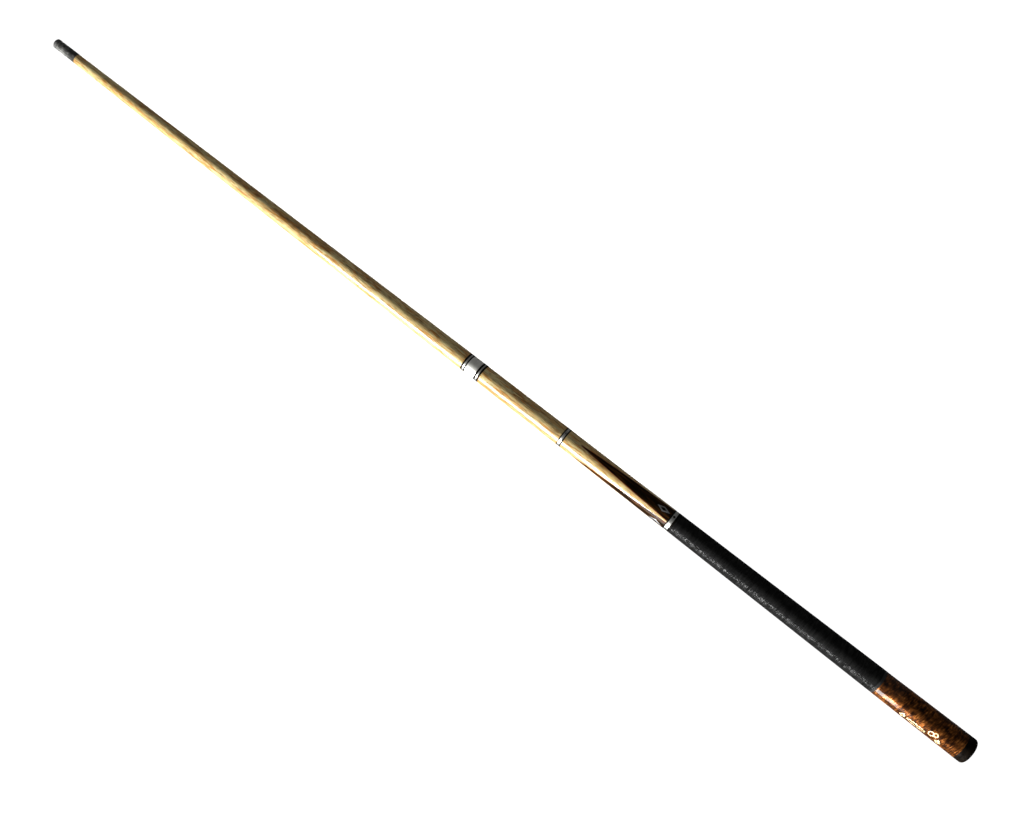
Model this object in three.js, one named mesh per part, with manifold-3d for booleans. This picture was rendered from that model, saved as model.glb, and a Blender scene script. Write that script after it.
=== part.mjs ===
// A two-piece pool cue, in millimetres.
// The cue lies along X: the tip points to -X, the butt to +X, and the origin is the centre of the flat
// on the end of the rubber bumper. A station is a distance along the cue, measured from the tip.
import * as THREE from "three";
import { mergeVertices } from "three/addons/utils/BufferGeometryUtils.js";
import Module from "manifold-3d";

const wasm = await Module();
wasm.setup();

// ---------------------------------------------------------------- driving dimensions

// Lengths in order from the tip to the butt.
const TIP_LENGTH = 7.0;
const PAD_LENGTH = 1.0;
const FERRULE_LENGTH = 32.7;
const SHAFT_WOOD_LENGTH = 673.7;
const SHAFT_RING_LENGTHS = [2.3, 2.1, 1.6];
const COLLAR_LENGTH = 14.6;
const BUTT_RING_LENGTHS = [2.5, 1.7, 2.5];
const FOREARM_FRONT_LENGTH = 122.9;
const MIDDLE_RING_LENGTHS = [1.5, 2.9, 1.7];
const POINTED_FOREARM_LENGTH = 154.3;
const WRAP_RING_LENGTHS = [1.8, 4.4, 2.2];
const WRAP_LENGTH = 289.4;
const SLEEVE_LENGTH = 108.6;
const CAP_LENGTH = 5.0;
const BUMPER_LENGTH = 8.0;

// Outer radii where the taper changes.
const TIP_RADIUS = 6.5;
const JOINT_RADIUS = 12.0;
const WRAP_FRONT_RADIUS = 13.15;
const BUTT_RADIUS = 15.9;

// Ends.
const TIP_DOME_RADIUS = 10.5;
const BUMPER_FLAT_RADIUS = 6.0;
const BUMPER_DOME_RADIUS = 36.0;
const BUMPER_CORNER_RADIUS = 3.5;

// Tenons that carry the rings, and the pieces inside.
const FERRULE_CAP = 6.0;
const FERRULE_TENON_RADIUS = 4.2;
const RING_TENON_RADIUS = 8.2;
const MIDDLE_TENON_DEPTH = 20.0;
const PIN_RADIUS = 4.76;
const PIN_PROJECTION = 32.4;
const PIN_DEPTH = 44.0;
const PIN_NOSE = 2.0;
const INSERT_RADIUS = 6.35;
const INSERT_LENGTH = 38.0;
const STUD_RADIUS = 3.97;
const STUD_DEPTH = 50.0;
const WRAP_THICKNESS = 1.2;
const SLEEVE_TENON_RADIUS = 10.0;
const CAP_SPIGOT_LENGTH = 12.0;
const WEIGHT_RADIUS = 6.3;
const WEIGHT_LENGTH = 55.0;
const WEIGHT_BORE_DEPTH = 72.0;
const WEIGHT_SOCKET_RADIUS = 4.6;
const WEIGHT_SOCKET_DEPTH = 6.0;
const WEIGHT_SOCKET_SIDES = 6;
const STEM_RADIUS = 5.9;
const STEM_LENGTH = 26.0;
const STEM_RIB_HEIGHT = 0.3;
const STEM_RIB_COUNT = 3;
const STEM_RIB_PITCH = 6.0;
const STEM_FIRST_RIB = 8.0;

// Points: V-shaped splices of dark wood, with a hollow lozenge inlaid in each.
const POINT_COUNT = 4;
const POINT_TIP_SETBACK = 17.0;
const POINT_ROOT_RADIUS = 5.4;
const POINT_HALF_ANGLE = THREE.MathUtils.degToRad(60);
const LOZENGE_LENGTH = 18.3;
const LOZENGE_WIDTH = 6.8;
const LOZENGE_CORE_LENGTH = 8.0;
const LOZENGE_CORE_WIDTH = 3.2;
const LOZENGE_TO_RING = 11.4;

// Ornament inlaid in the butt sleeve, as distances from the sleeve's front end to each piece's centre.
const ORNAMENT_ANGLE = THREE.MathUtils.degToRad(82);
const ORNAMENT_LOZENGE_LENGTH = 8.0;
const ORNAMENT_LOZENGE_WIDTH = 8.4;
const ORNAMENT_FRONT_AT = 38.8;
const ORNAMENT_REAR_AT = 85.2;
const ORNAMENT_BAR_LENGTH = 24.0;
const ORNAMENT_BAR_WIDTH = 4.4;
const ORNAMENT_BAR_AT = 56.5;
const ORNAMENT_RING_ANGLE = THREE.MathUtils.degToRad(64);
const ORNAMENT_RING_RADIUS = 3.6;
const ORNAMENT_RING_WIDTH = 1.3;
const ORNAMENT_RING_AT = 74.0;
const INLAY_DEPTH = 1.6;

// Clearances.
const GLUE_GAP = 0.1;
const THREAD_GAP = 0.1;
const CUT_GAP = 0.3;

// How finely curved outlines are drawn, and how far a cutting solid runs past the one it cuts.
const FACETS = 24;
const TIP_DOME_STEPS = 5;
const BUMPER_CORNER_STEPS = 3;
const RING_CURVE_SEGMENTS = 12;
const MERGE_TOLERANCE = 1e-4;
const CUT_MARGIN = 1.0;
const FLAT_TO_CORNER = Math.cos(Math.PI / FACETS);

// ---------------------------------------------------------------- stations and outer radius

const sum = (lengths) => lengths.reduce((total, length) => total + length, 0);

const PAD_AT = TIP_LENGTH;
const FERRULE_AT = PAD_AT + PAD_LENGTH;
const SHAFT_WOOD_AT = FERRULE_AT + FERRULE_LENGTH;
const SHAFT_RINGS_AT = SHAFT_WOOD_AT + SHAFT_WOOD_LENGTH;
const JOINT_AT = SHAFT_RINGS_AT + sum(SHAFT_RING_LENGTHS);
const BUTT_RINGS_AT = JOINT_AT + COLLAR_LENGTH;
const FOREARM_AT = BUTT_RINGS_AT + sum(BUTT_RING_LENGTHS);
const MIDDLE_RINGS_AT = FOREARM_AT + FOREARM_FRONT_LENGTH;
const POINTED_AT = MIDDLE_RINGS_AT + sum(MIDDLE_RING_LENGTHS);
const WRAP_RINGS_AT = POINTED_AT + POINTED_FOREARM_LENGTH;
const WRAP_AT = WRAP_RINGS_AT + sum(WRAP_RING_LENGTHS);
const SLEEVE_AT = WRAP_AT + WRAP_LENGTH;
const CAP_AT = SLEEVE_AT + SLEEVE_LENGTH;
const BUMPER_AT = CAP_AT + CAP_LENGTH;
const END_AT = BUMPER_AT + BUMPER_LENGTH;

const TAPER = [
  [0, TIP_RADIUS],
  [JOINT_AT, JOINT_RADIUS],
  [WRAP_AT, WRAP_FRONT_RADIUS],
  [CAP_AT, BUTT_RADIUS],
  [END_AT, BUTT_RADIUS],
];

// The outer radius at a station: straight cones between the radii of TAPER.
function outerRadius(station) {
  const next = Math.max(1, TAPER.findIndex(([at]) => at >= station));
  const [fromAt, fromRadius] = TAPER[next - 1];
  const [toAt, toRadius] = TAPER[next];
  return THREE.MathUtils.mapLinear(station, fromAt, toAt, fromRadius, toRadius);
}

// ---------------------------------------------------------------- materials

function finish(color, roughness, metalness = 0) {
  return new THREE.MeshStandardMaterial({ color, roughness, metalness });
}

const LEATHER = finish(0x2b2b2d, 0.85);
const FIBRE = finish(0x1d1d20, 0.7);
const FERRULE_PLASTIC = finish(0x2a2a2b, 0.45);
const BLACK_PLASTIC = finish(0x0d0d0e, 0.25);
const MAPLE = finish(0xd8b26c, 0.35);
const EBONY = finish(0x1b100a, 0.3);
const SILVER = finish(0xb8b8b6, 0.25, 1);
const STEEL = finish(0x9a9a9a, 0.22, 1);
const BRASS = finish(0xc49a4a, 0.35, 1);
const LINEN = finish(0x18181a, 0.8);
const FIGURED_WOOD = finish(0x4a210f, 0.2);
const GOLD = finish(0xe2c06a, 0.3, 1);
const RUBBER = finish(0x0b0b0b, 0.7);

// ---------------------------------------------------------------- making solids

const cue = new THREE.Group();

function addPiece(name, geometry, material) {
  const mesh = new THREE.Mesh(geometry, material);
  mesh.name = name;
  cue.add(mesh);
}

// Turns a closed outline of [station, radius] corners about the cue's axis.
// The outline is brought to the sense that gives outward faces, whichever way it was written.
function turned(outline) {
  const points = outline.map(([at, radius]) => new THREE.Vector2(radius, at - END_AT));
  if (THREE.ShapeUtils.isClockWise(points)) points.reverse();
  const touchesAxis = points.some((p) => p.x === 0);
  while (touchesAxis && !(points[0].x === 0 && points.at(-1).x === 0)) {
    points.push(points.shift());
  }
  if (!touchesAxis) points.push(points[0].clone());
  const geometry = new THREE.LatheGeometry(points, FACETS, Math.PI / FACETS);
  return geometry.rotateZ(-Math.PI / 2);
}

// The outline of a tube that follows the cue's outside between two stations.
function tube(from, to, innerRadius) {
  const taperChanges = TAPER.filter(([at]) => at > from && at < to);
  return [
    [from, innerRadius],
    [from, outerRadius(from)],
    ...taperChanges,
    [to, outerRadius(to)],
    [to, innerRadius],
  ];
}

// A row of rings on one tenon: black, silver, black.
function addRings(name, from, lengths) {
  const parts = ["black_front", "silver", "black_rear"];
  let at = from;
  lengths.forEach((length, i) => {
    const outline = tube(at, at + length, RING_TENON_RADIUS + GLUE_GAP);
    addPiece(`${name}_${parts[i]}`, turned(outline), parts[i] === "silver" ? SILVER : BLACK_PLASTIC);
    at += length;
  });
}

function toSolid(geometry) {
  const bare = geometry.clone();
  bare.deleteAttribute("normal");
  bare.deleteAttribute("uv");
  const merged = mergeVertices(bare, MERGE_TOLERANCE);
  return new wasm.Manifold(
    new wasm.Mesh({
      numProp: 3,
      vertProperties: new Float32Array(merged.attributes.position.array),
      triVerts: new Uint32Array(merged.index.array),
    }),
  );
}

function toGeometry(solid) {
  const mesh = solid.getMesh();
  const geometry = new THREE.BufferGeometry();
  geometry.setAttribute("position", new THREE.BufferAttribute(mesh.vertProperties, mesh.numProp));
  geometry.setIndex(new THREE.BufferAttribute(mesh.triVerts, 1));
  geometry.computeVertexNormals();
  return geometry;
}

// ---------------------------------------------------------------- shaft

function addShaft() {
  const apexDrop = TIP_DOME_RADIUS - Math.sqrt(TIP_DOME_RADIUS ** 2 - TIP_RADIUS ** 2);
  const dome = [];
  for (let i = 0; i <= TIP_DOME_STEPS; i += 1) {
    const radius = (TIP_RADIUS * i) / TIP_DOME_STEPS;
    dome.push([TIP_DOME_RADIUS - Math.sqrt(TIP_DOME_RADIUS ** 2 - radius ** 2), radius]);
  }
  dome[TIP_DOME_STEPS] = [apexDrop, outerRadius(apexDrop)];
  addPiece("tip", turned([...dome, [PAD_AT, outerRadius(PAD_AT)], [PAD_AT, 0]]), LEATHER);

  addPiece("tip_pad", turned([[PAD_AT, 0], ...tube(PAD_AT, FERRULE_AT, 0).slice(1)]), FIBRE);

  const boreRadius = FERRULE_TENON_RADIUS + GLUE_GAP;
  addPiece(
    "ferrule",
    turned([
      [FERRULE_AT, 0],
      [FERRULE_AT, outerRadius(FERRULE_AT)],
      [SHAFT_WOOD_AT, outerRadius(SHAFT_WOOD_AT)],
      [SHAFT_WOOD_AT, boreRadius],
      [FERRULE_AT + FERRULE_CAP, boreRadius],
      [FERRULE_AT + FERRULE_CAP, 0],
    ]),
    FERRULE_PLASTIC,
  );

  const tenonAt = FERRULE_AT + FERRULE_CAP + GLUE_GAP;
  const insertBore = (INSERT_RADIUS + THREAD_GAP) / FLAT_TO_CORNER;
  const boreEnd = JOINT_AT - INSERT_LENGTH - GLUE_GAP;
  addPiece(
    "shaft_wood",
    turned([
      [tenonAt, 0],
      [tenonAt, FERRULE_TENON_RADIUS],
      [SHAFT_WOOD_AT, FERRULE_TENON_RADIUS],
      [SHAFT_WOOD_AT, outerRadius(SHAFT_WOOD_AT)],
      [SHAFT_RINGS_AT, outerRadius(SHAFT_RINGS_AT)],
      [SHAFT_RINGS_AT, RING_TENON_RADIUS],
      [JOINT_AT, RING_TENON_RADIUS],
      [JOINT_AT, insertBore],
      [boreEnd, insertBore],
      [boreEnd, 0],
    ]),
    MAPLE,
  );

  addRings("shaft_ring", SHAFT_RINGS_AT, SHAFT_RING_LENGTHS);

  const threadRadius = (PIN_RADIUS + THREAD_GAP) / FLAT_TO_CORNER;
  addPiece(
    "shaft_insert",
    turned([
      [JOINT_AT - INSERT_LENGTH, threadRadius],
      [JOINT_AT - INSERT_LENGTH, INSERT_RADIUS],
      [JOINT_AT, INSERT_RADIUS],
      [JOINT_AT, threadRadius],
    ]),
    BRASS,
  );
}

// ---------------------------------------------------------------- joint and forearm front

function addJoint() {
  const noseRadius = PIN_RADIUS - PIN_NOSE / 2;
  addPiece(
    "joint_pin",
    turned([
      [JOINT_AT - PIN_PROJECTION, 0],
      [JOINT_AT - PIN_PROJECTION, noseRadius],
      [JOINT_AT - PIN_PROJECTION + PIN_NOSE, PIN_RADIUS],
      [JOINT_AT + PIN_DEPTH, PIN_RADIUS],
      [JOINT_AT + PIN_DEPTH, 0],
    ]),
    STEEL,
  );
  addPiece(
    "joint_collar",
    turned(tube(JOINT_AT, BUTT_RINGS_AT, RING_TENON_RADIUS + GLUE_GAP)),
    STEEL,
  );
  addRings("butt_ring", BUTT_RINGS_AT, BUTT_RING_LENGTHS);

  const pinBore = PIN_RADIUS + GLUE_GAP;
  const pinBoreEnd = JOINT_AT + PIN_DEPTH + GLUE_GAP;
  const tenonEnd = POINTED_AT + MIDDLE_TENON_DEPTH;
  addPiece(
    "forearm_front",
    turned([
      [JOINT_AT, pinBore],
      [JOINT_AT, RING_TENON_RADIUS],
      [FOREARM_AT, RING_TENON_RADIUS],
      [FOREARM_AT, outerRadius(FOREARM_AT)],
      [MIDDLE_RINGS_AT, outerRadius(MIDDLE_RINGS_AT)],
      [MIDDLE_RINGS_AT, RING_TENON_RADIUS],
      [tenonEnd, RING_TENON_RADIUS],
      [tenonEnd, 0],
      [pinBoreEnd, 0],
      [pinBoreEnd, pinBore],
    ]),
    MAPLE,
  );
  addRings("middle_ring", MIDDLE_RINGS_AT, MIDDLE_RING_LENGTHS);
}

// ---------------------------------------------------------------- pointed forearm

// A V-shaped bar along the forearm. Its keel leaves the surface at the point's tip and sinks to
// POINT_ROOT_RADIUS at the wrap rings, because the forearm is tilted under the cutter.
// The bar is lowered by the distance sunk, which opens a gap between a point and its groove.
function pointBar(sunk) {
  const tipAt = POINTED_AT + POINT_TIP_SETBACK;
  const run = WRAP_RINGS_AT - tipAt;
  const drop = outerRadius(tipAt) - POINT_ROOT_RADIUS;
  const height = JOINT_RADIUS + BUTT_RADIUS;
  const halfWidth = height * Math.tan(POINT_HALF_ANGLE);
  const section = new THREE.Shape([
    new THREE.Vector2(0, 0),
    new THREE.Vector2(halfWidth, height),
    new THREE.Vector2(-halfWidth, height),
  ]);
  const overrun = run / 2;
  const depth = run + 2 * overrun;
  const bar = new THREE.ExtrudeGeometry(section, { depth, bevelEnabled: false, steps: 1 });
  // The extrusion runs along +Z with the V opening to +Y: lay it along +X with the V opening to +Z.
  bar.translate(0, 0, -overrun);
  bar.rotateX(Math.PI / 2);
  bar.rotateZ(Math.PI / 2);
  bar.rotateY(Math.atan2(drop, run));
  bar.translate(tipAt - END_AT, 0, outerRadius(tipAt) - sunk);
  return bar;
}

// A flat outline in the plane that touches the cue at the top, extruded down into it.
// The outline's X runs along the cue.
function inlayBlock(shape, at, floor, angle) {
  const ceiling = outerRadius(at) + CUT_MARGIN;
  const block = new THREE.ExtrudeGeometry(shape, {
    depth: ceiling - floor,
    bevelEnabled: false,
    curveSegments: RING_CURVE_SEGMENTS,
  });
  block.translate(at - END_AT, 0, floor);
  return block.rotateX(angle);
}

function lozenge(length, width) {
  return new THREE.Shape([
    new THREE.Vector2(-length / 2, 0),
    new THREE.Vector2(0, -width / 2),
    new THREE.Vector2(length / 2, 0),
    new THREE.Vector2(0, width / 2),
  ]);
}

function addPointedForearm() {
  const front = POINTED_AT;
  const rear = WRAP_RINGS_AT;
  const tenonBore = RING_TENON_RADIUS + GLUE_GAP;
  const tenonBoreEnd = front + MIDDLE_TENON_DEPTH + GLUE_GAP;
  const studBore = STUD_RADIUS + GLUE_GAP;
  const studBoreEnd = rear - STUD_DEPTH - GLUE_GAP;
  const blank = [
    [front, tenonBore],
    [front, outerRadius(front)],
    [rear, outerRadius(rear)],
    [rear, studBore],
    [studBoreEnd, studBore],
    [studBoreEnd, 0],
    [tenonBoreEnd, 0],
    [tenonBoreEnd, tenonBore],
  ];
  const outside = toSolid(
    turned([
      [front, 0],
      [front, outerRadius(front)],
      [rear - GLUE_GAP, outerRadius(rear - GLUE_GAP)],
      [rear - GLUE_GAP, 0],
    ]),
  );
  const lozengeAt = rear - LOZENGE_TO_RING;
  const floor = outerRadius(lozengeAt) * FLAT_TO_CORNER - INLAY_DEPTH;
  let forearm = toSolid(turned(blank));

  for (let i = 0; i < POINT_COUNT; i += 1) {
    const angle = (2 * Math.PI * i) / POINT_COUNT;
    const number = i + 1;
    const block = (length, width, base) =>
      toSolid(inlayBlock(lozenge(length, width), lozengeAt, base, angle));

    forearm = forearm.subtract(toSolid(pointBar(CUT_GAP).rotateX(angle)));

    const frame = block(LOZENGE_LENGTH, LOZENGE_WIDTH, floor)
      .subtract(block(LOZENGE_CORE_LENGTH, LOZENGE_CORE_WIDTH, floor - CUT_MARGIN))
      .intersect(outside);
    const coreScale = 1 - (2 * GLUE_GAP) / LOZENGE_CORE_WIDTH;
    const core = block(LOZENGE_CORE_LENGTH * coreScale, LOZENGE_CORE_WIDTH * coreScale, floor)
      .intersect(outside);
    const pocketScale = 1 + (2 * GLUE_GAP) / LOZENGE_WIDTH;
    const pocket = block(LOZENGE_LENGTH * pocketScale, LOZENGE_WIDTH * pocketScale, floor - GLUE_GAP);
    const point = toSolid(pointBar(0).rotateX(angle)).intersect(outside).subtract(pocket);

    addPiece(`point_${number}`, toGeometry(point), EBONY);
    addPiece(`lozenge_frame_${number}`, toGeometry(frame), SILVER);
    addPiece(`lozenge_core_${number}`, toGeometry(core), BLACK_PLASTIC);
  }
  addPiece("pointed_forearm", toGeometry(forearm), MAPLE);
  addRings("wrap_ring", WRAP_RINGS_AT, WRAP_RING_LENGTHS);
}

// ---------------------------------------------------------------- handle, wrap and butt sleeve

function addHandle() {
  const studBore = STUD_RADIUS + GLUE_GAP;
  const studBoreEnd = WRAP_RINGS_AT + STUD_DEPTH + GLUE_GAP;
  const weightBore = WEIGHT_RADIUS + THREAD_GAP;
  const tenonEnd = CAP_AT - CAP_SPIGOT_LENGTH - GLUE_GAP;
  const weightBoreEnd = tenonEnd - WEIGHT_BORE_DEPTH;
  addPiece(
    "handle_core",
    turned([
      [WRAP_RINGS_AT, studBore],
      [WRAP_RINGS_AT, RING_TENON_RADIUS],
      [WRAP_AT, RING_TENON_RADIUS],
      [WRAP_AT, outerRadius(WRAP_AT) - WRAP_THICKNESS - GLUE_GAP],
      [SLEEVE_AT, outerRadius(SLEEVE_AT) - WRAP_THICKNESS - GLUE_GAP],
      [SLEEVE_AT, SLEEVE_TENON_RADIUS],
      [tenonEnd, SLEEVE_TENON_RADIUS],
      [tenonEnd, weightBore],
      [weightBoreEnd, weightBore],
      [weightBoreEnd, 0],
      [studBoreEnd, 0],
      [studBoreEnd, studBore],
    ]),
    MAPLE,
  );
  addPiece(
    "handle_stud",
    turned([
      [WRAP_RINGS_AT - STUD_DEPTH, 0],
      [WRAP_RINGS_AT - STUD_DEPTH, STUD_RADIUS],
      [WRAP_RINGS_AT + STUD_DEPTH, STUD_RADIUS],
      [WRAP_RINGS_AT + STUD_DEPTH, 0],
    ]),
    STEEL,
  );
  addPiece(
    "wrap",
    turned([
      [WRAP_AT, outerRadius(WRAP_AT) - WRAP_THICKNESS],
      [WRAP_AT, outerRadius(WRAP_AT)],
      [SLEEVE_AT, outerRadius(SLEEVE_AT)],
      [SLEEVE_AT, outerRadius(SLEEVE_AT) - WRAP_THICKNESS],
    ]),
    LINEN,
  );
  addWeight(weightBoreEnd + GLUE_GAP);
}

function addWeight(from) {
  const rod = toSolid(
    turned([
      [from, 0],
      [from, WEIGHT_RADIUS],
      [from + WEIGHT_LENGTH, WEIGHT_RADIUS],
      [from + WEIGHT_LENGTH, 0],
    ]),
  );
  const hexagon = new THREE.CylinderGeometry(
    WEIGHT_SOCKET_RADIUS,
    WEIGHT_SOCKET_RADIUS,
    2 * WEIGHT_SOCKET_DEPTH,
    WEIGHT_SOCKET_SIDES,
  );
  hexagon.rotateZ(Math.PI / 2);
  hexagon.translate(from + WEIGHT_LENGTH - END_AT, 0, 0);
  addPiece("weight_bolt", toGeometry(rod.subtract(toSolid(hexagon))), STEEL);
}

// The ornament's pieces, each with its outline, the station of its middle and its angle from the top.
function ornamentPieces() {
  const ring = new THREE.Shape();
  ring.absarc(0, 0, ORNAMENT_RING_RADIUS, 0, 2 * Math.PI);
  const hole = new THREE.Path();
  hole.absarc(0, 0, ORNAMENT_RING_RADIUS - ORNAMENT_RING_WIDTH, 0, 2 * Math.PI);
  ring.holes.push(hole);
  const halfBar = ORNAMENT_BAR_LENGTH / 2;
  const halfWidth = ORNAMENT_BAR_WIDTH / 2;
  const bar = new THREE.Shape([
    new THREE.Vector2(-halfBar, 0),
    new THREE.Vector2(-halfBar + halfWidth, -halfWidth),
    new THREE.Vector2(halfBar - halfWidth, -halfWidth),
    new THREE.Vector2(halfBar, 0),
    new THREE.Vector2(halfBar - halfWidth, halfWidth),
    new THREE.Vector2(-halfBar + halfWidth, halfWidth),
  ]);
  const diamond = lozenge(ORNAMENT_LOZENGE_LENGTH, ORNAMENT_LOZENGE_WIDTH);
  return [
    ["ornament_lozenge_front", diamond, ORNAMENT_FRONT_AT, ORNAMENT_ANGLE],
    ["ornament_bar", bar, ORNAMENT_BAR_AT, ORNAMENT_ANGLE],
    ["ornament_ring", ring, ORNAMENT_RING_AT, ORNAMENT_RING_ANGLE],
    ["ornament_lozenge_rear", diamond, ORNAMENT_REAR_AT, ORNAMENT_ANGLE],
  ];
}

function addSleeve() {
  const outline = tube(SLEEVE_AT, CAP_AT, SLEEVE_TENON_RADIUS + GLUE_GAP);
  let sleeve = toSolid(turned(outline));
  const outside = toSolid(turned(tube(SLEEVE_AT, CAP_AT, 0)));
  for (const [name, shape, fromFront, angle] of ornamentPieces()) {
    const at = SLEEVE_AT + fromFront;
    const floor = outerRadius(at) * FLAT_TO_CORNER - INLAY_DEPTH;
    const inlay = toSolid(inlayBlock(shape, at, floor, angle)).intersect(outside);
    const pocket = toSolid(inlayBlock(shape, at, floor - GLUE_GAP, angle));
    sleeve = sleeve.subtract(pocket);
    addPiece(name, toGeometry(inlay), GOLD);
  }
  addPiece("butt_sleeve", toGeometry(sleeve), FIGURED_WOOD);
}

// ---------------------------------------------------------------- butt end

function addButtEnd() {
  const bore = STEM_RADIUS + STEM_RIB_HEIGHT + GLUE_GAP;
  addPiece(
    "butt_cap",
    turned([
      [CAP_AT - CAP_SPIGOT_LENGTH, bore],
      [CAP_AT - CAP_SPIGOT_LENGTH, SLEEVE_TENON_RADIUS],
      [CAP_AT, SLEEVE_TENON_RADIUS],
      [CAP_AT, outerRadius(CAP_AT)],
      [BUMPER_AT, outerRadius(BUMPER_AT)],
      [BUMPER_AT, bore],
    ]),
    BLACK_PLASTIC,
  );

  // The end: a flat, a shallow dome round it, and a rounded corner down to the cap's radius.
  const corner = BUTT_RADIUS - BUMPER_CORNER_RADIUS;
  const domeDrop = (radius) =>
    BUMPER_DOME_RADIUS - Math.sqrt(BUMPER_DOME_RADIUS ** 2 - (radius - BUMPER_FLAT_RADIUS) ** 2);
  const end = [[END_AT, 0], [END_AT, BUMPER_FLAT_RADIUS]];
  end.push([END_AT - domeDrop(corner), corner]);
  for (let i = 1; i <= BUMPER_CORNER_STEPS; i += 1) {
    const turn = ((Math.PI / 2) * i) / BUMPER_CORNER_STEPS;
    end.push([
      END_AT - domeDrop(corner) - BUMPER_CORNER_RADIUS * (1 - Math.cos(turn)),
      corner + BUMPER_CORNER_RADIUS * Math.sin(turn),
    ]);
  }
  const stem = [[BUMPER_AT, BUTT_RADIUS], [BUMPER_AT, STEM_RADIUS]];
  for (let i = 0; i < STEM_RIB_COUNT; i += 1) {
    const ribAt = BUMPER_AT - STEM_FIRST_RIB - i * STEM_RIB_PITCH;
    stem.push([ribAt, STEM_RADIUS]);
    stem.push([ribAt, STEM_RADIUS + STEM_RIB_HEIGHT]);
    stem.push([ribAt - STEM_RIB_PITCH / 2, STEM_RADIUS]);
  }
  stem.push([BUMPER_AT - STEM_LENGTH, STEM_RADIUS - STEM_RIB_HEIGHT]);
  stem.push([BUMPER_AT - STEM_LENGTH, 0]);
  addPiece("bumper", turned([...end, ...stem]), RUBBER);
}

addShaft();
addJoint();
addPointedForearm();
addHandle();
addSleeve();
addButtEnd();

export default cue;
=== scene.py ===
# %% [markdown]
# # A two-piece pool cue
# The cue lies along X with its tip at -X, the origin is the centre of the rubber bumper's flat, and
# +Z is up. The CAD solids are turned with a few flats. Here each one that shows is made again as a
# fine round surface at the same place and size, and gets a finish built from nodes.

# %% Load the frame
import bpy
import numpy as np
from mathutils import Matrix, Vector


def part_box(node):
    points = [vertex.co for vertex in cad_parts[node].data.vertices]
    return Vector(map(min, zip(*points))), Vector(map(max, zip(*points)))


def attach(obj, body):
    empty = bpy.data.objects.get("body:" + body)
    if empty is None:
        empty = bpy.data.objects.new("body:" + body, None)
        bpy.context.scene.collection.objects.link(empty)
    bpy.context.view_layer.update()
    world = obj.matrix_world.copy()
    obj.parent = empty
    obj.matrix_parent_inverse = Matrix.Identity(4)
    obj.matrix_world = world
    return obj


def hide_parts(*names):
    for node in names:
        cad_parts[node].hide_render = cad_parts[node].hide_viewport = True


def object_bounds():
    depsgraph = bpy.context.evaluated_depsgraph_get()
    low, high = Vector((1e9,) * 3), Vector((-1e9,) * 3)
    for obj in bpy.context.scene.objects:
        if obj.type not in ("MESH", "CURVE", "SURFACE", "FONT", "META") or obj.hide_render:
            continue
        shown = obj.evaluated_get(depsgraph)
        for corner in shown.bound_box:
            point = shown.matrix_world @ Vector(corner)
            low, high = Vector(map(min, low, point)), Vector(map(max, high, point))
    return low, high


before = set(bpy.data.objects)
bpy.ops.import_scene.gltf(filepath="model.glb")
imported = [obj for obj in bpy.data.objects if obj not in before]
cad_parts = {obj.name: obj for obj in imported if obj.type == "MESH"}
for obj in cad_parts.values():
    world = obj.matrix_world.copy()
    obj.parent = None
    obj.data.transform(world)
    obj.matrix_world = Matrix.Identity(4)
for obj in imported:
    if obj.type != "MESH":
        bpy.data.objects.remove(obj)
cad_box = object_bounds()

MM = 0.001
CLEARANCE = 0.1 * MM
cue_length = cad_box[1].x - cad_box[0].x
print(f"{len(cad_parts)} nodes, {cue_length / MM:.0f} mm long")

# %% [markdown]
# ## Camera
# A cue is some forty-five times longer than it is wide, so it only fills a frame when it runs from
# corner to corner. The camera stands high over the cue's front side, is turned a little towards the
# tip, and is rolled so that the cue falls from the top left to the bottom right. Its three axes are
# worked out from those angles and put into one matrix, which is easier to check than three chained
# rotations.

# %% Camera
CAMERA_FOOT = -424.15 * MM
CAMERA_DISTANCE = 1.300
CAMERA_ELEVATION = np.radians(66.0)
CAMERA_TURN = np.radians(9.731)
CAMERA_DIP = np.radians(0.365)
CAMERA_ROLL = np.radians(37.84)
LENS = 37.92
SENSOR_WIDTH = 36.0


def aimed(name, data, right, up, back, place):
    """Adds a camera or light whose own X, Y and Z axes are right, up and back."""
    item = bpy.data.objects.new(name, data)
    axes = np.eye(4)
    axes[:3, 0], axes[:3, 1], axes[:3, 2], axes[:3, 3] = right, up, back, place
    item.matrix_world = Matrix(axes.tolist())
    bpy.context.scene.collection.objects.link(item)
    return item


along = np.array([1.0, 0.0, 0.0])
outward = np.array([0.0, -np.cos(CAMERA_ELEVATION), np.sin(CAMERA_ELEVATION)])
across = np.array([0.0, np.sin(CAMERA_ELEVATION), np.cos(CAMERA_ELEVATION)])
level_view = -np.sin(CAMERA_TURN) * along - np.cos(CAMERA_TURN) * outward
level_right = np.cos(CAMERA_TURN) * along - np.sin(CAMERA_TURN) * outward
view_axis = np.cos(CAMERA_DIP) * level_view - np.sin(CAMERA_DIP) * across
view_across = np.cos(CAMERA_DIP) * across + np.sin(CAMERA_DIP) * level_view
camera_right = np.cos(CAMERA_ROLL) * level_right + np.sin(CAMERA_ROLL) * view_across
camera_up = -np.sin(CAMERA_ROLL) * level_right + np.cos(CAMERA_ROLL) * view_across

camera_data = bpy.data.cameras.new("camera")
camera_data.lens = LENS
camera_data.sensor_width = SENSOR_WIDTH
camera_place = CAMERA_FOOT * along + CAMERA_DISTANCE * outward
camera = aimed("camera", camera_data, camera_right, camera_up, -view_axis, camera_place)
bpy.context.scene.camera = camera
print("camera at", np.round(camera_place, 3))

# %% [markdown]
# ## Shader maths
# A procedural finish is arithmetic on positions and noise. Wiring Math nodes by hand hides that
# arithmetic, so one small class wraps a socket and lets Python's own operators add the nodes.
# A second class holds one material, and its `node` method makes every other kind of node.


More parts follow.
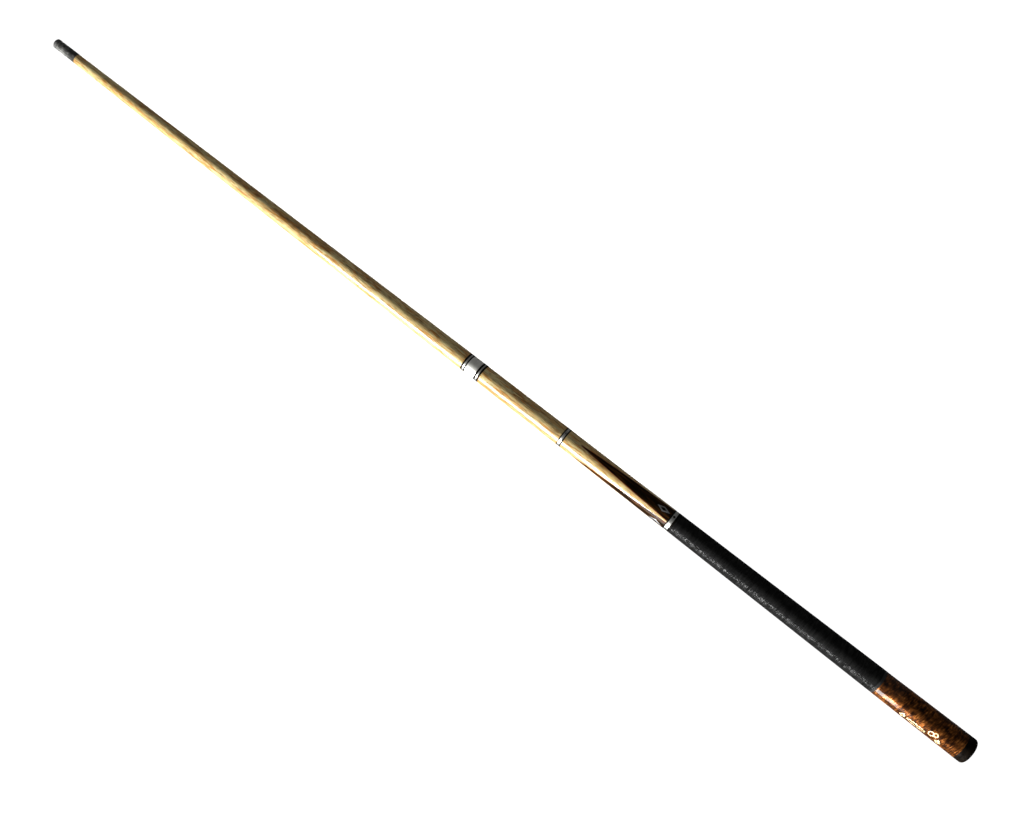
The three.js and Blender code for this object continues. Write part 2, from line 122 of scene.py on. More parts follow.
# %% The two helper classes
class Wire:
    """One output socket. Adding, multiplying and so on adds the Math node that does it."""

    def __init__(self, finish, socket):
        self.finish = finish
        self.socket = socket

    def math(self, operation, *others):
        return self.finish.node("Math", {"operation": operation}, dict(enumerate((self, *others))))

    def __add__(self, other):
        return self.math("ADD", other)

    def __sub__(self, other):
        return self.math("SUBTRACT", other)

    def __rsub__(self, other):
        return self.finish.node("Math", {"operation": "SUBTRACT"}, {0: other, 1: self})

    def __mul__(self, other):
        return self.math("MULTIPLY", other)

    def __truediv__(self, other):
        return self.math("DIVIDE", other)


class Finish:
    """One material. Its shader is a Principled BSDF, and its constants sit on the shader's sockets."""

    def __init__(self, name, **constants):
        self.material = bpy.data.materials.new(name)
        self.material.use_nodes = True
        self.tree = self.material.node_tree
        self.shader = self.tree.nodes["Principled BSDF"]
        for socket, value in constants.items():
            self.shader.inputs[socket.replace("_", " ")].default_value = value

    def node(self, kind, settings=None, inputs=None, output=0):
        """Adds a node: its settings first, then its sockets' values or links. Returns one output."""
        node = self.tree.nodes.new("ShaderNode" + kind)
        for key, value in (settings or {}).items():
            if key == "stops":
                while len(node.color_ramp.elements) < len(value):
                    node.color_ramp.elements.new(0.5)
                for element, (at, color) in zip(node.color_ramp.elements, value):
                    element.position = at
                    element.color = (*color, 1.0)
            else:
                setattr(node, key, value)
        for key, value in (inputs or {}).items():
            if isinstance(value, Wire):
                self.tree.links.new(value.socket, node.inputs[key])
            else:
                node.inputs[key].default_value = value
        return Wire(self, node.outputs[output])

    def feed(self, **wires):
        """Links wires to the shader's sockets."""
        for socket, wire in wires.items():
            self.tree.links.new(wire.socket, self.shader.inputs[socket.replace("_", " ")])

    def place(self):
        """The place on the piece, in metres, as three wires: along the cue, and its two cross axes."""
        spot = self.node("TexCoord", output="Object")
        return [self.node("SeparateXYZ", None, {0: spot}, output) for output in ("X", "Y", "Z")]

    def noise(self, x, y, z, detail=3.0, distortion=0.0):
        """Noise of about unit-sized features at the given place, from 0 to 1."""
        spot = self.node("CombineXYZ", None, {"X": x, "Y": y, "Z": z})
        sockets = {"Vector": spot, "Scale": 1.0, "Detail": detail, "Distortion": distortion}
        return self.node("TexNoise", {"noise_dimensions": "3D"}, sockets)

    def grain(self, length, width, detail=3.0, distortion=0.0, offset=0.0):
        """Noise stretched along the cue: features of that length and width, both in metres."""
        x, y, z = self.place()
        return self.noise(x / length + offset, y / width, z / width, detail, distortion)

    def between(self, value, low, high):
        """0 where the value is under low, 1 where it is over high, and a smooth step between."""
        sockets = {"Value": value, "From Min": low, "From Max": high}
        return self.node("MapRange", {"interpolation_type": "SMOOTHSTEP"}, sockets)

    def ramp(self, value, *stops):
        return self.node("ValToRGB", {"stops": stops}, {0: value})

    def mix(self, factor, first, second):
        """first where the factor is 0, second where it is 1. Both are colours or colour wires."""
        first, second = [c if isinstance(c, Wire) else (*c, 1.0) for c in (first, second)]
        sockets = {"Factor": factor, 6: first, 7: second}
        return self.node("Mix", {"data_type": "RGBA"}, sockets, output=2)

    def bump(self, height, distance, strength=1.0):
        sockets = {"Height": height, "Distance": distance, "Strength": strength}
        return self.node("Bump", None, sockets)


print("helpers ready")

# %% [markdown]
# ## Light and floor
# Two strip lights stand low in front of the cue, since only a strip parallel to a rod gives a highlight
# that runs along it. The long one lights the wood evenly from end to end. The other only shows in
# reflections. The camera sees each end of it mirrored about halfway between, so the highlight fades
# out along the shaft and stops just behind the front of the sleeve. The far side gets little more than
# the room's even glow, so it falls into shade.
# The floor is a lit white table, as used for products, whose glow is stronger than any shadow on it.
# A weaker strip below and behind keeps the back readable.

# %% Light and floor
KEY_ELEVATION = np.radians(-14.0)
KEY_DISTANCE = 1.5
KEY_LENGTH = 4.4
KEY_HEIGHT = 0.34
KEY_POWER = 112.0
GLOSS_ELEVATION = np.radians(-6.0)
GLOSS_FRONT = -1.55
GLOSS_REAR = 0.275
GLOSS_HEIGHT = 0.90
GLOSS_POWER = 190.0
BACK_ELEVATION = np.radians(-58.0)
BACK_HEIGHT = 0.68
BACK_POWER = 45.0
ROOM_GLOW = 0.16
FLOOR_SIZE = 60.0
middle = cad_box[0].x / 2


def strip_light(name, side, elevation, span, height, power):
    """A strip light parallel to the cue over a span of x; side is -1 in front of it and 1 behind."""
    data = bpy.data.lights.new(name, "AREA")
    data.shape = "RECTANGLE"
    data.size = span[1] - span[0]
    data.size_y = height
    data.energy = power
    back = np.array([0.0, side * np.cos(elevation), np.sin(elevation)])
    place = sum(span) / 2 * along + KEY_DISTANCE * back
    light = aimed(name, data, along, np.cross(back, along), back, place)
    light.visible_camera = False
    return light


whole_span = (middle - KEY_LENGTH / 2, middle + KEY_LENGTH / 2)
gloss_span = (GLOSS_FRONT, GLOSS_REAR)
key = strip_light("key_strip", -1, KEY_ELEVATION, whole_span, KEY_HEIGHT, KEY_POWER)
gloss = strip_light("gloss_strip", -1, GLOSS_ELEVATION, gloss_span, GLOSS_HEIGHT, GLOSS_POWER)
strip_light("back_strip", 1, BACK_ELEVATION, whole_span, BACK_HEIGHT, BACK_POWER)
key.visible_glossy = False
gloss.visible_diffuse = False

world = bpy.data.worlds.new("room")
world.use_nodes = True
bpy.context.scene.world = world
backdrop = world.node_tree.nodes["Background"]
backdrop.inputs["Color"].default_value = (1.0, 1.0, 1.0, 1.0)
camera_ray = world.node_tree.nodes.new("ShaderNodeLightPath")
glow = world.node_tree.nodes.new("ShaderNodeMapRange")
glow.inputs["To Min"].default_value = ROOM_GLOW
glow.inputs["To Max"].default_value = 1.0
world.node_tree.links.new(camera_ray.outputs["Is Camera Ray"], glow.inputs["Value"])
world.node_tree.links.new(glow.outputs[0], backdrop.inputs["Strength"])

table = Finish("lit_table", Base_Color=(0.9, 0.9, 0.9, 1), Emission_Color=(1, 1, 1, 1))
table.shader.inputs["Emission Strength"].default_value = 1.0
corner = FLOOR_SIZE / 2
table_z = cad_box[0].z
table_mesh = bpy.data.meshes.new("lit_table")
table_corners = [(-corner, -corner), (corner, -corner), (corner, corner), (-corner, corner)]
table_mesh.from_pydata([(x, y, table_z) for x, y in table_corners], [], [(0, 1, 2, 3)])
table_mesh.materials.append(table.material)
floor = bpy.data.objects.new("lit_table", table_mesh)
bpy.context.scene.collection.objects.link(floor)
floor.visible_diffuse = False
floor.visible_glossy = False
floor.visible_shadow = False

bpy.context.scene.view_settings.view_transform = "Standard"
print("floor at", round(table_z / MM, 2), "mm")

# %% [markdown]
# ## Where things are
# Each ring, sleeve and ferrule starts and ends where its CAD node does, so the stations come from the
# nodes' boxes. The CAD solids have flats, and only their corners touch the true round surface, so the
# radius is the greatest distance from the axis among a node's vertices at one end.


# %% Stations and radii
SAME_PLACE = 0.01 * MM


def ends(node):
    """The lowest and highest x of a CAD node, in metres."""
    low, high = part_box(node)
    return low.x, high.x


def rim_radius(node, end):
    """The radius at a node's front (0) or rear (1) end: the farthest vertex there from the axis."""
    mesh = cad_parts[node].data
    spots = np.empty(3 * len(mesh.vertices))
    mesh.vertices.foreach_get("co", spots)
    spots = spots.reshape(-1, 3)
    near = np.abs(spots[:, 0] - ends(node)[end]) < SAME_PLACE
    return np.hypot(spots[near, 1], spots[near, 2]).max()


taper = [("tip_pad", 0), ("joint_collar", 0), ("wrap", 0), ("butt_sleeve", 1), ("butt_cap", 1)]
taper_x = np.array([ends(node)[end] for node, end in taper])
taper_radius = np.array([rim_radius(node, end) for node, end in taper])


def cue_radius(x):
    """The cue's outer radius at x: straight cones between the stations where the taper changes."""
    return np.interp(x, taper_x, taper_radius)


print("radii in mm:", np.round(taper_radius / MM, 2))

# %% [markdown]
# ## Turning on the lathe
# Nearly every piece of a cue is turned. A turned piece is an outline of (x, radius) corners carried
# round the axis, so a grid of points holds it: rows follow the outline and columns go round.
# Real turned edges are never knife sharp. Each corner is therefore eased into a small curve before
# turning, which also gives it the thin bright line that an edge catches from a light.

# %% Grid, skin and outline helpers
COLUMNS = 96
EASE = 0.15 * MM
EASE_SHARE = 0.45
SHARP_ANGLE = np.radians(38)


def eased(outline, ease=EASE, steps=4, loop=False):
    """Rounds an outline's corners. A corner P becomes the quadratic curve from the point `ease` before
    P to the point `ease` after it, pulled towards P: (1-t)^2 start + 2t(1-t) P + t^2 end. Neither
    point goes further than EASE_SHARE of the way to the next corner."""
    corners = np.asarray(outline, float)
    before, after = np.roll(corners, 1, axis=0), np.roll(corners, -1, axis=0)

    def stepped(target):
        gap = target - corners
        size = np.maximum(np.linalg.norm(gap, axis=1, keepdims=True), 1e-9)
        return corners + gap * np.minimum(ease / size, EASE_SHARE)

    start, end = stepped(before)[:, None], stepped(after)[:, None]
    t = np.linspace(0.0, 1.0, steps)[None, :, None]
    curve = (1 - t) ** 2 * start + 2 * t * (1 - t) * corners[:, None] + t**2 * end
    if loop:
        return curve.reshape(-1, 2)
    return np.vstack([corners[:1], curve[1:-1].reshape(-1, 2), corners[-1:]])


def carried_round(outline, columns=COLUMNS):
    """A grid of points: the outline's (x, r) at angle a is (x, -r sin a, r cos a)."""
    angle = np.arange(columns) * 2 * np.pi / columns
    x, r = np.asarray(outline).T
    return at_angle(x[:, None], r[:, None], angle[None, :])


def at_angle(x, radius, angle):
    """Points at x, a radius, and an angle from +Z towards -Y."""
    x, radius, angle = np.broadcast_arrays(x, radius, angle)
    return np.stack([x, -radius * np.sin(angle), radius * np.cos(angle)], axis=-1)


def skin(grid, loop=False):
    """Faces over a grid whose columns close up. The rows close up too with loop, and otherwise the
    first and last rows are poles: each becomes one vertex with a fan of triangles."""
    rows, columns = grid.shape[:2]
    number = np.arange(rows * columns).reshape(rows, columns)
    if loop:
        number = np.vstack([number, number[:1]])
    else:
        number[0], number[-1] = number[0, 0], number[-1, 0]
    beside = np.roll(number, -1, axis=1)
    quads = np.stack([number[:-1], beside[:-1], beside[1:], number[1:]], axis=-1)
    fans = np.empty((0, 3), int)
    if not loop:
        fans = np.vstack([quads[0][:, [0, 2, 3]], quads[-1][:, [0, 1, 2]]])
        quads = quads[1:-1]
    quads = quads.reshape(-1, 4)
    used = np.unique(np.concatenate([quads.ravel(), fans.ravel()]))
    renumber = np.zeros(rows * columns, int)
    renumber[used] = np.arange(len(used))
    return grid.reshape(-1, 3)[used], renumber[quads].tolist() + renumber[fans].tolist(), used


def made(name, grid, finish, body, replaced=(), loop=False, marks=None):
    """Makes one piece from a grid, hangs it on the body it rides on, and hides the nodes it stands for.
    marks holds values at the grid's points, which the finish reads as attributes."""
    points, faces, used = skin(grid, loop)
    mesh = bpy.data.meshes.new(name)
    mesh.from_pydata(points.tolist(), [], faces)
    mesh.materials.append(finish.material)
    mesh.shade_smooth()
    mesh.set_sharp_from_angle(angle=SHARP_ANGLE)
    for mark, values in (marks or {}).items():
        attribute = mesh.attributes.new(mark, "FLOAT", "POINT")
        attribute.data.foreach_set("value", np.ascontiguousarray(values, np.float32).ravel()[used])
    piece = bpy.data.objects.new(name, mesh)
    bpy.context.scene.collection.objects.link(piece)
    if replaced:
        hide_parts(*replaced)
    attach(piece, body)


def tube(node, inner):
    """A tube's outline between a node's ends: bore, front rim, rear rim, bore."""
    front, rear = ends(node)
    return [
        (front, inner),
        (front, cue_radius(front)),
        (rear, cue_radius(rear)),
        (rear, inner),
    ]


print("lathe ready,", COLUMNS, "columns")

# %% [markdown]
# ## Maple
# Shafts are hard maple: pale, close-grained, and clear-coated. Its grain runs along the cue as long
# thin streaks, with short reddish and dark mineral flecks, and a slow drift between cream and tan.
# Each of these is a noise stretched along X at its own scale, and a broader one gathers the flecks
# into patches. The lacquer is a clear coat, thinner where it is worn, and the streaks under it stand
# very slightly proud.

# %% Maple finish
MAPLE_PALE = (0.86, 0.72, 0.35)
MAPLE_TAN = (0.60, 0.41, 0.15)
MAPLE_FLECK = (0.60, 0.255, 0.042)
MAPLE_DARK = (0.17, 0.115, 0.045)


def maple_colour(finish):
    """Cream drifting to tan, fine streaks, then orange and dark flecks. Returns colour and streaks."""
    drift = finish.grain(70 * MM, 8 * MM, detail=3)
    streak = finish.grain(24 * MM, 0.9 * MM, detail=4, distortion=0.4)
    fleck = finish.grain(15 * MM, 1.5 * MM, detail=6, distortion=0.15, offset=7.3)
    dark = finish.grain(8 * MM, 1.0 * MM, detail=6, distortion=0.2, offset=3.1)
    patch = finish.grain(45 * MM, 7 * MM, detail=2, offset=5.7)
    tone = finish.between(drift * 0.6 + streak * 0.4, 0.36, 0.64)
    colour = finish.mix(tone, MAPLE_PALE, MAPLE_TAN)
    flecked = finish.between(fleck + patch * 0.4, 0.66, 0.83)
    colour = finish.mix(flecked, colour, MAPLE_FLECK)
    darkened = finish.between(dark + patch * 0.25, 0.58, 0.80) * 0.75
    return finish.mix(darkened, colour, MAPLE_DARK), streak


def maple_finish(name):
    finish = Finish(name, Coat_Roughness=0.09, Specular_IOR_Level=0.1)
    colour, streak = maple_colour(finish)
    wear = finish.grain(38 * MM, 9 * MM, offset=11.0)
    finish.feed(
        Base_Color=colour,
        Roughness=finish.between(streak, 0.2, 0.8) * 0.2 + 0.42,
        Coat_Weight=finish.between(wear, 0.38, 0.62) * 0.3 + 0.45,
        Normal=finish.bump(streak, 0.03 * MM, 0.5),
    )
    return finish


maple = maple_finish("maple")
print("maple finish made")

# %% [markdown]
# ## Black and silver trim
# The thin rings are moulded black resin and nickel silver. The resin is nearly featureless, so what
# makes it real is haze: fine scuffs in the roughness. Metal turned on a lathe keeps hair-fine tool
# marks that go round it, which is noise stretched round the axis and very tight along it.


# %% Trim finishes
def resin_finish(name, dark, light, roughness, specular):
    """Moulded resin or rubber: two near-blacks in a soft mottle, with scuffs in the roughness."""
    finish = Finish(name, Specular_IOR_Level=specular)
    mottle = finish.grain(5 * MM, 4 * MM, detail=5)
    scuff = finish.grain(1.2 * MM, 0.35 * MM, detail=6, offset=5.0)
    finish.feed(
        Base_Color=finish.mix(finish.between(mottle, 0.35, 0.68), dark, light),
        Roughness=finish.between(scuff, 0.3, 0.75) * 0.22 + roughness,
        Normal=finish.bump(scuff, 0.02 * MM, 0.4),
    )
    return finish


def turned_metal(name, dark, light, roughness, metallic=1.0):
    """Metal with tool marks going round it, and slow stains along it."""
    finish = Finish(name, Metallic=metallic)
    marks = finish.grain(0.12 * MM, 20 * MM, detail=2)
    stain = finish.grain(4 * MM, 5 * MM, detail=4)
    finish.feed(
        Base_Color=finish.mix(finish.between(stain * 0.6 + marks * 0.4, 0.3, 0.7), dark, light),
        Roughness=marks * 0.14 + roughness,
        Normal=finish.bump(marks, 0.012 * MM, 0.6),
    )
    return finish


black_resin = resin_finish("black_resin", (0.004, 0.0030, 0.002), (0.010, 0.007, 0.005), 0.30, 0.02)
nickel_silver = turned_metal("nickel_silver", (0.28, 0.28, 0.265), (0.52, 0.52, 0.49), 0.28, 0.8)
collar_steel = turned_metal("collar_steel", (0.64, 0.63, 0.58), (0.84, 0.83, 0.78), 0.30, 0.6)
insert_brass = turned_metal("insert_brass", (0.55, 0.36, 0.12), (0.82, 0.60, 0.26), 0.26)
pin_steel = turned_metal("pin_steel", (0.45, 0.45, 0.46), (0.75, 0.75, 0.76), 0.25)
rubber_tones = (0.004, 0.0028, 0.0018), (0.012, 0.0075, 0.004)
bumper_rubber = resin_finish("bumper_rubber", *rubber_tones, 0.5, 0.02)
fibre_pad = resin_finish("fibre_pad", (0.02, 0.02, 0.02), (0.06, 0.06, 0.058), 0.6, 0.1)
print("trim finishes made")

# %% [markdown]
# ## Tip, pad and ferrule
# The leather tip is a domed button that swells a little over the fibre pad from being struck. The
# ferrule is a resin thimble that stops the wood from splitting. The tip's leather is a cellular
# texture of pores over a softer fibre mottle. Grey chalk dust lies on the tip and the ferrule's front,
# and thins out towards the wood.

# %% Tip leather
tip_leather = Finish("tip_leather")
pores = tip_leather.node(
    "TexVoronoi",
    {"feature": "F1"},
    {"Vector": tip_leather.node("TexCoord", output="Object"), "Scale": 1 / (0.7 * MM)},
    output="Distance",
)
fibres = tip_leather.grain(1.5 * MM, 0.8 * MM, detail=5)
dust = tip_leather.between(tip_leather.grain(2.5 * MM, 2.5 * MM, detail=4, offset=2.0), 0.4, 0.7)
leather_colour = tip_leather.mix(fibres, (0.018, 0.018, 0.018), (0.10, 0.10, 0.095))
tip_leather.feed(
    Base_Color=tip_leather.mix(dust * 0.6, leather_colour, (0.19, 0.19, 0.18)),
    Roughness=fibres * 0.2 + 0.66,
    Normal=tip_leather.bump(pores * 0.6 + fibres * 0.4, 0.12 * MM, 0.7),
)

tip_front, tip_rear = ends("tip")
tip_radius = cue_radius(tip_rear)
TIP_DOME = 10.5 * MM
TIP_SWELL = 0.12 * MM
TIP_BEVEL_IN, TIP_BEVEL_BACK = 0.3 * MM, 0.35 * MM
TIP_REAR_EASE = 0.05 * MM
DOME_ROWS, SIDE_ROWS = 18, 12
dome_r = np.linspace(0.0, tip_radius - TIP_BEVEL_IN, DOME_ROWS)
dome_x = tip_front + TIP_DOME - np.sqrt(TIP_DOME**2 - dome_r**2)
side_t = np.linspace(0.0, 1.0, SIDE_ROWS)[:-1]
side_x = dome_x[-1] + TIP_BEVEL_BACK + side_t * (tip_rear - dome_x[-1] - TIP_BEVEL_BACK)
side_r = tip_radius + TIP_SWELL * np.sin(np.pi * side_t)
tip_rim = [(tip_rear, tip_radius - TIP_REAR_EASE), (tip_rear, 0.0)]
tip_outline = np.vstack([np.c_[dome_x, dome_r], np.c_[side_x, side_r], tip_rim])
made("leather_tip", carried_round(tip_outline), tip_leather, "shaft", ["tip"])

pad_front, pad_rear = ends("tip_pad")
pad = eased([(pad_front, 0), (pad_front, tip_radius), (pad_rear, cue_radius(pad_rear)), (pad_rear, 0)])
made("fibre_disc", carried_round(pad), fibre_pad, "shaft", ["tip_pad"])

ferrule_front, ferrule_rear = ends("ferrule")
FERRULE_CAP = 6.0 * MM
FERRULE_BORE = 4.3 * MM
ferrule = [
    (ferrule_front, 0),
    (ferrule_front, cue_radius(ferrule_front)),
    (ferrule_rear, cue_radius(ferrule_rear)),
    (ferrule_rear, FERRULE_BORE),
    (ferrule_front + FERRULE_CAP, FERRULE_BORE),
    (ferrule_front + FERRULE_CAP, 0),
]
ferrule_resin = Finish("ferrule_resin", Specular_IOR_Level=0.05)
ferrule_along = ferrule_resin.place()[0]
clean = ferrule_resin.between(ferrule_along, ferrule_front + 10 * MM, ferrule_front + 26 * MM)
smudge = ferrule_resin.grain(6 * MM, 4 * MM, detail=5, offset=1.5)
dusted = ferrule_resin.between(smudge - clean * 0.16, 0.34, 0.62)
ferrule_scuff = ferrule_resin.grain(1.5 * MM, 0.4 * MM, detail=6, offset=5.0)
ferrule_resin.feed(
    Base_Color=ferrule_resin.mix(dusted, (0.055, 0.055, 0.051), (0.23, 0.23, 0.217)),
    Roughness=ferrule_resin.between(ferrule_scuff, 0.3, 0.75) * 0.2 + 0.4,
    Normal=ferrule_resin.bump(ferrule_scuff, 0.02 * MM, 0.4),
)
ferrule_grid = carried_round(eased(ferrule))
made("ferrule_thimble", ferrule_grid, ferrule_resin, "shaft", ["ferrule"])
print("ferrule", round((ferrule_rear - ferrule_front) / MM, 1), "mm")

# %% [markdown]
# ## Shaft
# The shaft is one stick of maple with a tenon at each end: a thin one inside the ferrule, and one
# under the joint rings with a bore for the threaded insert. The rings are short tubes on that tenon.
# A thread is a surface whose radius rises and falls with the distance along it less the turn made so
# far, so a single formula gives both the pin's thread and the insert's.

# %% Shaft wood, rings and threads
RING_BORE = 8.3 * MM
TENON_RADIUS = 8.2 * MM
INSERT_GAP = 0.05 * MM
THREAD_PITCH = 2.54 * MM
THREAD_DEPTH = 0.75 * MM
THREAD_ROWS_PER_TURN = 12
THREAD_COLUMNS = 48
wood_front = ends("shaft_wood")[0]
rings_front = ends("shaft_ring_black_front")[0]
joint_x = ends("joint_collar")[0]
insert_front, insert_rear = ends("shaft_insert")
insert_radius = rim_radius("shaft_insert", 1)
shaft = [
    (wood_front, 0),
    (wood_front, FERRULE_BORE - CLEARANCE),
    (ferrule_rear, FERRULE_BORE - CLEARANCE),
    (ferrule_rear, cue_radius(ferrule_rear)),
    (rings_front, cue_radius(rings_front)),
    (rings_front, TENON_RADIUS),
    (joint_x, TENON_RADIUS),
    (joint_x, insert_radius + INSERT_GAP),
    (insert_front - CLEARANCE, insert_radius + INSERT_GAP),
    (insert_front - CLEARANCE, 0),
]
made("shaft_maple", carried_round(eased(shaft)), maple, "shaft", ["shaft_wood"])


def ring_row(row, body):
    """The three rings of a row: black, silver, black."""
    for place in ("black_front", "silver", "black_rear"):
        node = f"{row}_{place}"
        silver = place == "silver"
        grid = carried_round(eased(tube(node, RING_BORE), loop=True))
        finish = nickel_silver if silver else black_resin
        made(f"{node}_band", grid, finish, body, [node], loop=True)


ring_row("shaft_ring", "shaft")


def threaded(x, crest):
    """Points on a thread: the radius is the crest less the depth times a triangle wave of
    (x / pitch - angle / full turn), so one turn round moves the crest one pitch along."""
    angle = np.arange(THREAD_COLUMNS) * 2 * np.pi / THREAD_COLUMNS
    phase = x[:, None] / THREAD_PITCH - angle[None, :] / (2 * np.pi)
    wave = np.abs(2 * (phase - np.floor(phase + 0.5)))
    return at_angle(x[:, None], crest[:, None] - THREAD_DEPTH * wave, angle[None, :])


pin_front, pin_rear = ends("joint_pin")
PIN_NOSE = 2.0 * MM
pin_radius = rim_radius("joint_pin", 1)
pin_turns = (pin_rear - pin_front) / THREAD_PITCH
pin_x = np.linspace(pin_front, pin_rear, int(pin_turns * THREAD_ROWS_PER_TURN))
pin_crest = pin_radius - np.clip(PIN_NOSE - (pin_x - pin_front), 0, PIN_NOSE) / 2
pin_body = threaded(pin_x, pin_crest)
pin_ends = [carried_round([(x, 0.0)], THREAD_COLUMNS) for x in (pin_front, pin_rear)]
pin_grid = np.concatenate([pin_ends[0], pin_body, pin_ends[1]])
made("joint_screw", pin_grid, pin_steel, "butt", ["joint_pin"])

bore_turns = (insert_rear - insert_front) / THREAD_PITCH
bore_x = np.linspace(insert_rear, insert_front, int(bore_turns * THREAD_ROWS_PER_TURN))
bore_crest = np.full_like(bore_x, pin_radius + CLEARANCE)
insert_bore = threaded(bore_x, bore_crest)
insert_shell = [(insert_front, insert_radius), (insert_rear, insert_radius)]
insert_grid = np.concatenate([carried_round(insert_shell, THREAD_COLUMNS), insert_bore])
made("brass_insert", insert_grid, insert_brass, "insert", ["shaft_insert"], loop=True)
print("thread turns on the pin:", round(pin_turns, 1))

# %% [markdown]
# ## Collar and forearm front
# The steel collar guards the butt's end of the joint, and the plain front of the forearm runs on to
# the middle rings. Its tenon carries the collar and the rings, and its bore holds the pin.

# %% Collar and forearm front
COLLAR_EASE = 0.35 * MM
made(
    "steel_collar",
    carried_round(eased(tube("joint_collar", RING_BORE), ease=COLLAR_EASE, loop=True)),
    collar_steel,
    "butt",
    ["joint_collar"],
    loop=True,
)
ring_row("butt_ring", "butt")
forearm_x = ends("butt_ring_black_rear")[1]
middle_rings_x = ends("middle_ring_black_front")[0]
tenon_end = ends("forearm_front")[1]
pin_bore = pin_radius + CLEARANCE
forearm = [
    (pin_rear + CLEARANCE, 0),
    (pin_rear + CLEARANCE, pin_bore),
    (joint_x, pin_bore),
    (joint_x, TENON_RADIUS),
    (forearm_x, TENON_RADIUS),
    (forearm_x, cue_radius(forearm_x)),
    (middle_rings_x, cue_radius(middle_rings_x)),
    (middle_rings_x, TENON_RADIUS),
    (tenon_end, TENON_RADIUS),
    (tenon_end, 0),
]
made("forearm_maple", carried_round(eased(forearm)), maple, "butt", ["forearm_front"])
ring_row("middle_ring", "butt")
print("forearm front", round((middle_rings_x - forearm_x) / MM, 1), "mm")

# %% [markdown]
# ## The four points
# A point is a V-shaped splice. The forearm is held at a slight tilt while a V cutter runs along it, so
# the groove starts at nothing and gets deeper and wider, and its edges draw a long sharp triangle on
# the round surface. The V's keel is at a distance k from the axis, and its sides lean 60 degrees either
# way. A side meets the surface where a straight line crosses a circle, which takes one square root.
# The grid's columns follow that moving edge, so it stays crisp without a huge mesh.

# %% Point geometry
POINTS = 4
POINT_SLOPE = np.tan(np.radians(60))
POINT_ROOT = 5.4 * MM
VENEER_GAP = 0.05 * MM
LEAST_SPREAD = 0.004
POINT_BEGINS = 0.01
splice_front, splice_rear = ends("pointed_forearm")
point_front = ends("point_1")[0]


def keel_radius(x):
    """How far the V's keel is from the axis: on the surface at the tip, POINT_ROOT at the rear."""
    return np.interp(x, [point_front, splice_rear], [cue_radius(point_front), POINT_ROOT])


def half_spread(x):
    """Half the angle that a point takes up on the surface. Its side, rising s across for every h up
    with s = h * slope, meets the circle where (k + h)^2 + (h * slope)^2 = R^2."""
    k, r = keel_radius(x), cue_radius(x)
    a = 1 + POINT_SLOPE**2
    h = (-k + np.sqrt(np.maximum(k**2 - a * (k**2 - r**2), 0))) / a
    return np.maximum(np.arctan2(h * POINT_SLOPE, k + h), LEAST_SPREAD)


print("points spread to", np.round(2 * np.degrees(half_spread(splice_rear)), 1), "degrees")

# %% [markdown]
# ## Dark wood of the points
# The points are ebony: nearly black, with a reddish cast in broad soft streaks. Long thin pores are
# the grain noise again, far darker and narrower than in maple, under a thin lacquer. The maple beside
# a point shows a hair-thin line of red veneer. The maple reads its distance from the edge from a mark
# on the mesh, since no formula on the place alone could follow it as simply.

# %% Ebony and spliced maple finishes
ebony = Finish("ebony", Coat_Roughness=0.08, Specular_IOR_Level=0.01)
ebony_pores = ebony.grain(12 * MM, 0.5 * MM, detail=4)
ebony_cast = ebony.grain(30 * MM, 3 * MM, detail=3, offset=4.0)
reddish = ebony.between(ebony_cast, 0.45, 0.75)
ebony_wood = ebony.mix(reddish, (0.012, 0.006, 0.0015), (0.120, 0.042, 0.009))
ebony.feed(
    Base_Color=ebony.mix(ebony.between(ebony_pores, 0.55, 0.75), ebony_wood, (0.002, 0.0015, 0.001)),
    Roughness=ebony_pores * 0.2 + 0.3,
    Coat_Weight=ebony.between(ebony_cast, 0.0, 0.6) * 0.04 + 0.02,
    Normal=ebony.bump(ebony_pores, 0.03 * MM, 0.4),
)

VENEER_WIDTH = 0.35 * MM
spliced_maple = Finish("spliced_maple", Coat_Roughness=0.09, Specular_IOR_Level=0.1)
spliced_colour, spliced_streak = maple_colour(spliced_maple)
edge = spliced_maple.node("Attribute", {"attribute_name": "edge"}, output="Fac")
veneer = 1 - spliced_maple.between(edge, VENEER_WIDTH, VENEER_WIDTH * 2)
spliced_maple.feed(
    Base_Color=spliced_maple.mix(veneer, spliced_colour, (0.33, 0.055, 0.012)),
    Roughness=spliced_streak * 0.2 + 0.32,
    Coat_Weight=spliced_maple.between(spliced_streak, 0.1, 0.7) * 0.2 + 0.6,
    Normal=spliced_maple.bump(spliced_streak, 0.03 * MM, 0.4),
)
print("ebony and spliced maple made")

# %% [markdown]
# ## Splicing the forearm
# The forearm's grid goes in at the front tenon bore, out over the grooved surface and back in at the
# stud's bore. A point's grid is a ring of sections, each an arc of the surface and two straight sides
# down to the keel.

# %% Forearm with its grooves, and the points
GROOVE_COLUMNS = 10
PLAIN_COLUMNS = 14
SPLICE_ROWS = 120
POINT_ROWS = 90
ARC_COLUMNS = 17
SIDE_COLUMNS = 7
STUD_BORE = 4.07 * MM
STUD_DEPTH = 50.1 * MM
QUARTER = 2 * np.pi / POINTS


def quarter_angles(spread):
    """For each row, the angles of one quarter's columns from its point's centre: across the groove
    from -spread to spread, then over the plain wood to the next groove."""
    t_groove = np.linspace(-1, 1, GROOVE_COLUMNS, endpoint=False)
    t_plain = np.linspace(0, 1, PLAIN_COLUMNS, endpoint=False)
    groove = spread[:, None] * t_groove
    plain = spread[:, None] + (QUARTER - 2 * spread[:, None]) * t_plain
    return np.hstack([groove, plain])


